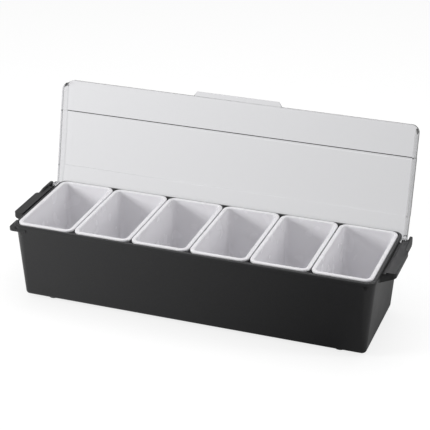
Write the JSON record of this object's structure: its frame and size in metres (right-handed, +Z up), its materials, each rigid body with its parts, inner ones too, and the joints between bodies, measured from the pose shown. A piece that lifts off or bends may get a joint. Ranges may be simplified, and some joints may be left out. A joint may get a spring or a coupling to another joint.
{
  "type": "condiment caddy",
  "caption": "Long black bar caddy with a drafted ice trough, end handles, lift-out white trays and one clear full-length flip lid on two side pins.",
  "frame": {"origin": "Centre of the trough's flat underside, 4.5 mm above the surface that the feet stand on.", "axes": "+X along the row of trays to the right, +Y from the front to the hinge side, +Z up. The lid is open, leaning back on its stop, and the trays are seated."},
  "size_m": [0.497, 0.1899, 0.2379],
  "materials": {
    "trough_black": "fine moulded texture, satin black",
    "lid_clear": "clear polished plastic",
    "tray_white": "smooth white moulding",
    "pin_black": "smooth satin black",
    "foot_rubber": "matt black rubber"
  },
  "bodies": {
    "base": {"trough": "trough_black", "handle_left": "trough_black", "handle_right": "trough_black", "foot_front_left": "foot_rubber", "foot_front_right": "foot_rubber", "foot_rear_left": "foot_rubber", "foot_rear_right": "foot_rubber", "hinge_pin_left": "pin_black", "hinge_pin_right": "pin_black"},
    "lid": {"lid": "lid_clear"},
    "tray_1": {"tray_1": "tray_white"},
    "tray_2": {"tray_2": "tray_white"},
    "tray_3": {"tray_3": "tray_white"},
    "tray_4": {"tray_4": "tray_white"},
    "tray_5": {"tray_5": "tray_white"},
    "tray_6": {"tray_6": "tray_white"}
  },
  "joints": [
    {"name": "lid_hinge", "type": "hinge", "parent": "base", "child": "lid", "pos_m": [0, 0.062, 0.0935], "axis": [-1, 0, 0], "range_deg": [-103, 0]},
    {"name": "tray_1_lift", "type": "slide", "parent": "base", "child": "tray_1", "axis": [0, 0, 1], "range_m": [0, 0.1]},
    {"name": "tray_2_lift", "type": "slide", "parent": "base", "child": "tray_2", "axis": [0, 0, 1], "range_m": [0, 0.1]},
    {"name": "tray_3_lift", "type": "slide", "parent": "base", "child": "tray_3", "axis": [0, 0, 1], "range_m": [0, 0.1]},
    {"name": "tray_4_lift", "type": "slide", "parent": "base", "child": "tray_4", "axis": [0, 0, 1], "range_m": [0, 0.1]},
    {"name": "tray_5_lift", "type": "slide", "parent": "base", "child": "tray_5", "axis": [0, 0, 1], "range_m": [0, 0.1]},
    {"name": "tray_6_lift", "type": "slide", "parent": "base", "child": "tray_6", "axis": [0, 0, 1], "range_m": [0, 0.1]}
  ]
}
